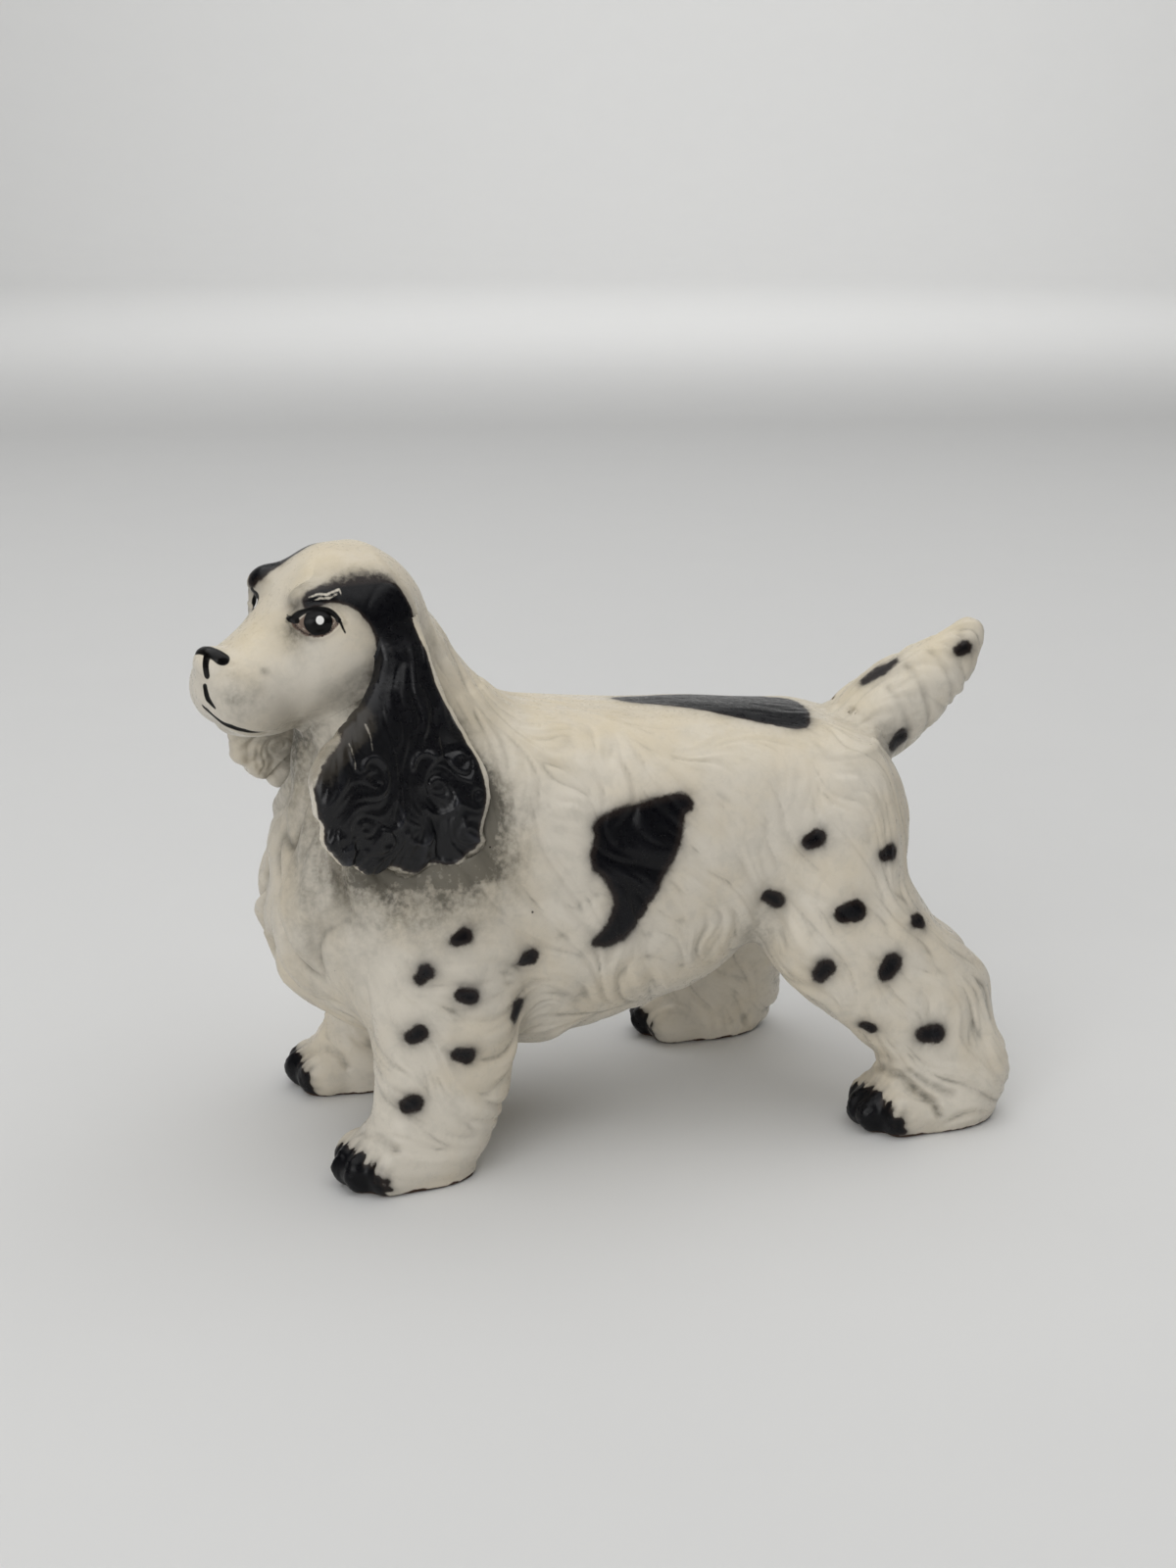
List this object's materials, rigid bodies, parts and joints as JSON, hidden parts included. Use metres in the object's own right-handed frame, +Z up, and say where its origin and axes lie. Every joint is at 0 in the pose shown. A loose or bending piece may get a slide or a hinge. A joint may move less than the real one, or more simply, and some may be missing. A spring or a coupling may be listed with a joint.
{
  "type": "dog figurine",
  "caption": "Standing ceramic spaniel figurine with long lobed ears, raised feathered tail and turned head, glazed white with black patches and spots.",
  "frame": {"origin": "centre of the bounding box at the plane of the soles", "axes": "+X towards the tail, +Y towards the dog's right side, +Z up"},
  "size_m": [0.1546, 0.0718, 0.1145],
  "materials": {
    "white_glaze": "glossy ivory glaze over slip-cast earthenware",
    "black_glaze": "glossy black glaze over slip-cast earthenware"
  },
  "bodies": {
    "root": {"torso": "white_glaze", "head": "white_glaze", "ear_left": "black_glaze", "ear_right": "black_glaze", "tail": "white_glaze", "foreleg_left": "white_glaze", "foreleg_right": "white_glaze", "hindleg_left": "white_glaze", "hindleg_right": "white_glaze"}
  },
  "joints": []
}
